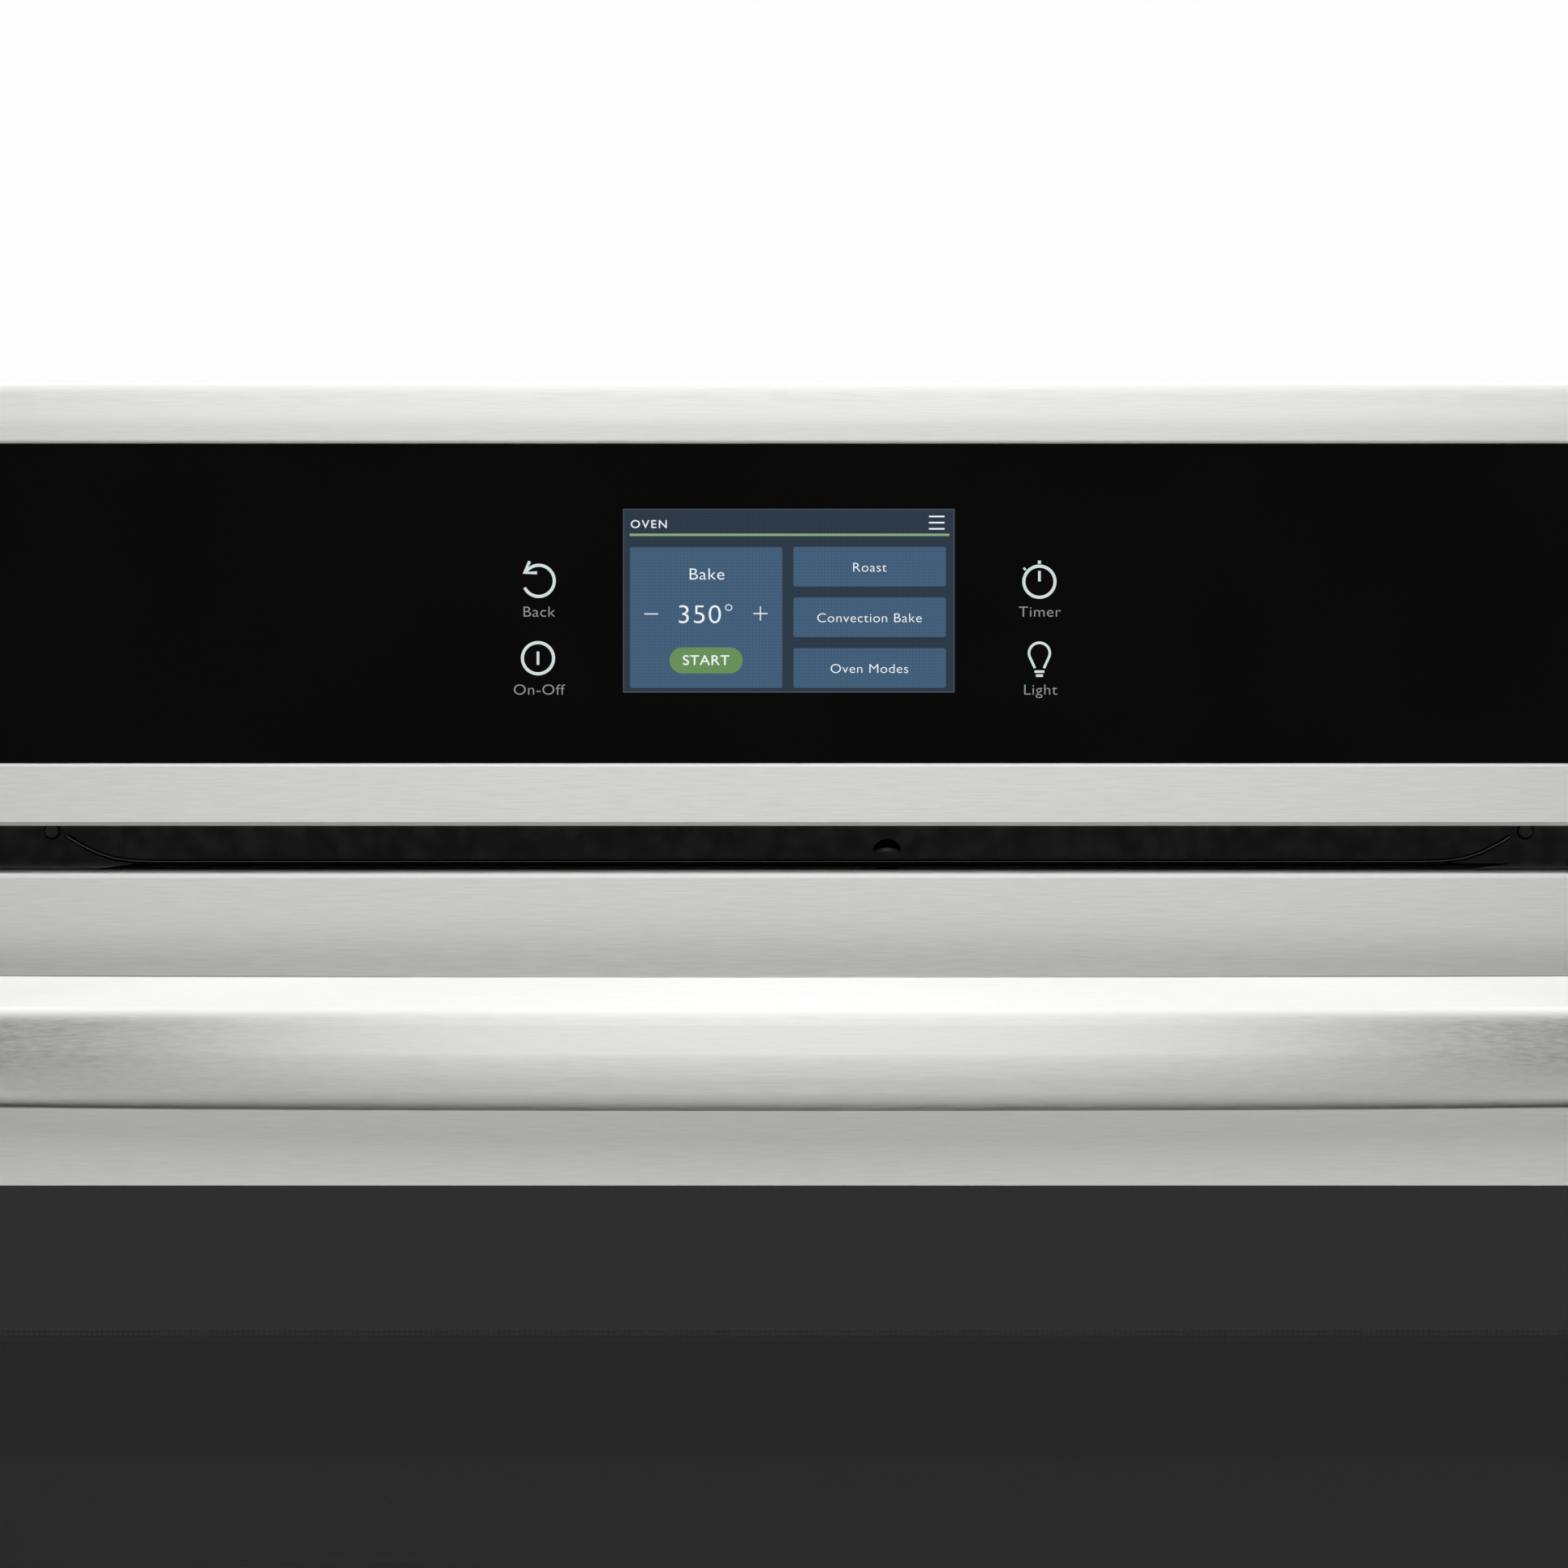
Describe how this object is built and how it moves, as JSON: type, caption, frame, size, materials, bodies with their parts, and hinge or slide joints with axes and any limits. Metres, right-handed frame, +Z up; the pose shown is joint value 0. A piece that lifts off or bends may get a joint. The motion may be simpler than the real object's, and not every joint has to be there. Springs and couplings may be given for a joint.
{
  "type": "wall oven",
  "caption": "Built-in single electric wall oven with a touch-glass control panel, a stainless drop-down door with a bowed bar handle, sliding racks and a convection fan.",
  "frame": {"origin": "underside of the base pan, centred across the width, in the plane of the cabinet face", "axes": "+X to the right seen from the front, +Y into the cabinet, +Z up"},
  "size_m": [0.759, 0.7133, 0.7386],
  "materials": {
    "stainless": "horizontally brushed stainless steel",
    "galvanised": "spangled galvanised sheet",
    "black_enamel": "glossy black vitreous enamel",
    "blue_enamel": "speckled dark blue vitreous enamel",
    "black_paint": "satin black powder coat",
    "black_glass": "polished black ceramic-printed glass",
    "clear_glass": "clear heat-resistant glass",
    "chrome": "chrome-plated wire",
    "steel": "plain bright steel",
    "element": "oxidised element sheath",
    "glass_wool": "yellow glass wool blanket",
    "woven_seal": "woven glass-fibre seal",
    "black_plastic": "moulded black plastic",
    "white_plastic": "white ceramic and high-temperature plastic",
    "circuit_board": "solder-masked board",
    "display": "lit liquid-crystal display behind glass",
    "aluminium": "plain die-cast aluminium"
  },
  "bodies": {
    "chassis": {"base_pan": "galvanised", "chassis_top": "galvanised", "chassis_side_left": "galvanised", "chassis_side_right": "galvanised", "chassis_back": "galvanised", "conduit_gland": "aluminium", "side_trim_left": "black_paint", "side_trim_right": "black_paint", "bottom_trim": "stainless", "front_frame": "black_enamel", "oven_cavity": "blue_enamel", "cavity_back": "blue_enamel", "insulation_blanket": "glass_wool", "door_gasket": "woven_seal", "rack_guide_left": "chrome", "rack_guide_right": "chrome", "broil_element": "element", "bake_element": "element", "convection_element": "element", "temperature_probe": "steel", "fan_cover": "blue_enamel", "fan_motor": "galvanised", "lamp_lens": "clear_glass", "lamp_socket": "white_plastic", "lamp_bulb": "clear_glass", "control_tray": "galvanised", "blower_housing": "galvanised", "blower_motor": "steel", "exhaust_duct": "galvanised", "latch_motor": "black_plastic", "door_switch": "black_plastic", "control_fascia": "stainless", "panel_end_cap_left": "stainless", "panel_end_cap_right": "stainless", "control_glass": "black_glass", "panel_carrier": "black_plastic", "touch_display": "display", "display_board": "circuit_board", "power_board": "circuit_board", "hinge_arm_left": "steel", "hinge_arm_right": "steel"},
    "door": {"door_skin": "stainless", "door_liner": "black_enamel", "door_insulation": "glass_wool", "door_glass": "black_glass", "glass_frame": "black_paint", "middle_glass": "clear_glass", "inner_glass": "clear_glass", "hinge_body_left": "steel", "hinge_body_right": "steel", "handle_bar": "stainless", "handle_post_left": "stainless", "handle_post_right": "stainless"},
    "rack_lower": {"rack_lower": "chrome"},
    "rack_upper": {"rack_upper": "chrome"},
    "convection_fan": {"convection_fan": "steel"},
    "blower_wheel": {"blower_wheel": "aluminium"},
    "latch_hook": {"latch_hook": "steel"},
    "switch_plunger": {"switch_plunger": "white_plastic"}
  },
  "joints": [
    {"name": "door_hinge", "type": "hinge", "parent": "chassis", "child": "door", "pos_m": [0, -0.035, 0.08], "axis": [1, 0, 0], "range_deg": [0, 90], "stiffness_Nm_per_rad": 14, "springref_deg": -34.38},
    {"name": "rack_lower_slide", "type": "slide", "parent": "chassis", "child": "rack_lower", "axis": [0, -1, 0], "range_m": [0, 0.24]},
    {"name": "rack_upper_slide", "type": "slide", "parent": "chassis", "child": "rack_upper", "axis": [0, -1, 0], "range_m": [0, 0.24]},
    {"name": "fan_spin", "type": "hinge", "parent": "chassis", "child": "convection_fan", "pos_m": [0, 0.4903, 0.334], "axis": [0, 1, 0], "continuous": true},
    {"name": "blower_spin", "type": "hinge", "parent": "chassis", "child": "blower_wheel", "pos_m": [0, 0.3, 0.61], "axis": [0, 0, 1], "continuous": true},
    {"name": "latch_swing", "type": "hinge", "parent": "chassis", "child": "latch_hook", "pos_m": [0.241, 0.03, 0.5815], "axis": [0, 0, -1], "range_deg": [0, 12]},
    {"name": "switch_press", "type": "slide", "parent": "chassis", "child": "switch_plunger", "axis": [0, -1, 0], "range_m": [0, 0.004]}
  ],
  "couplings": [
    {"joint": "rack_lower_slide", "follows": "door_hinge", "m_per_rad": 0.15},
    {"joint": "rack_upper_slide", "follows": "door_hinge", "m_per_rad": 0.15},
    {"joint": "switch_press", "follows": "door_hinge", "m_per_rad": 0.0025}
  ]
}
